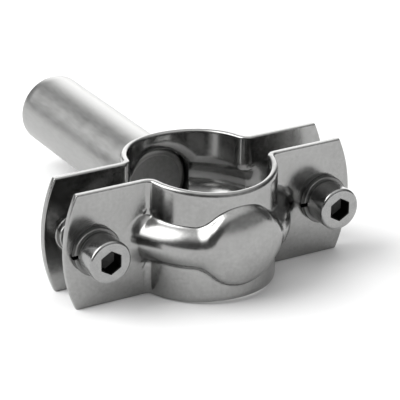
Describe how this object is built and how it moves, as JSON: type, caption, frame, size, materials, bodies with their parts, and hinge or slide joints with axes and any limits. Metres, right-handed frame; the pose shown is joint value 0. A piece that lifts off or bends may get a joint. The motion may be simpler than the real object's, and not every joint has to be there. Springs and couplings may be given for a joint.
{
  "type": "pipe holder",
  "caption": "Two stamped steel halves that clamp round a pipe by cap screws through their ears, with a round stem welded behind for fixing to a stand or wall.",
  "frame": {"origin": "on the pipe's axis in the fixed rear half, at mid-height", "axes": "+Z along the pipe, +Y along the stem away from the pipe, X across the screw ears"},
  "size_m": [0.0964, 0.1233, 0.036],
  "materials": {
    "half": "stainless sheet, stamped and tumbled bright",
    "stem": "stainless bar, drawn satin",
    "weld": "pickled weld",
    "screw": "cold-formed stainless, tumbled",
    "washer": "spring wire, pressed"
  },
  "bodies": {
    "rear": {"rear_half": "half", "stem": "stem", "stem_weld": "weld"},
    "front": {"front_half": "half", "washer_left": "washer", "washer_right": "washer"},
    "left_screw": {"screw_left": "screw"},
    "right_screw": {"screw_right": "screw"}
  },
  "joints": [
    {"name": "front_slide", "type": "slide", "parent": "rear", "child": "front", "axis": [0, 1, 0], "range_m": [-0.0075, 0.0085]},
    {"name": "left_screw_turn", "type": "hinge", "parent": "front", "child": "left_screw", "pos_m": [-0.0386, 0, 0], "axis": [0, 1, 0], "range_deg": [-2161, 2449]},
    {"name": "right_screw_turn", "type": "hinge", "parent": "front", "child": "right_screw", "pos_m": [0.0386, 0, 0], "axis": [0, 1, 0], "range_deg": [-2161, 2449]}
  ],
  "couplings": [
    {"joint": "left_screw_turn", "follows": "front_slide", "rad_per_m": 5026.5},
    {"joint": "right_screw_turn", "follows": "front_slide", "rad_per_m": 5026.5}
  ]
}
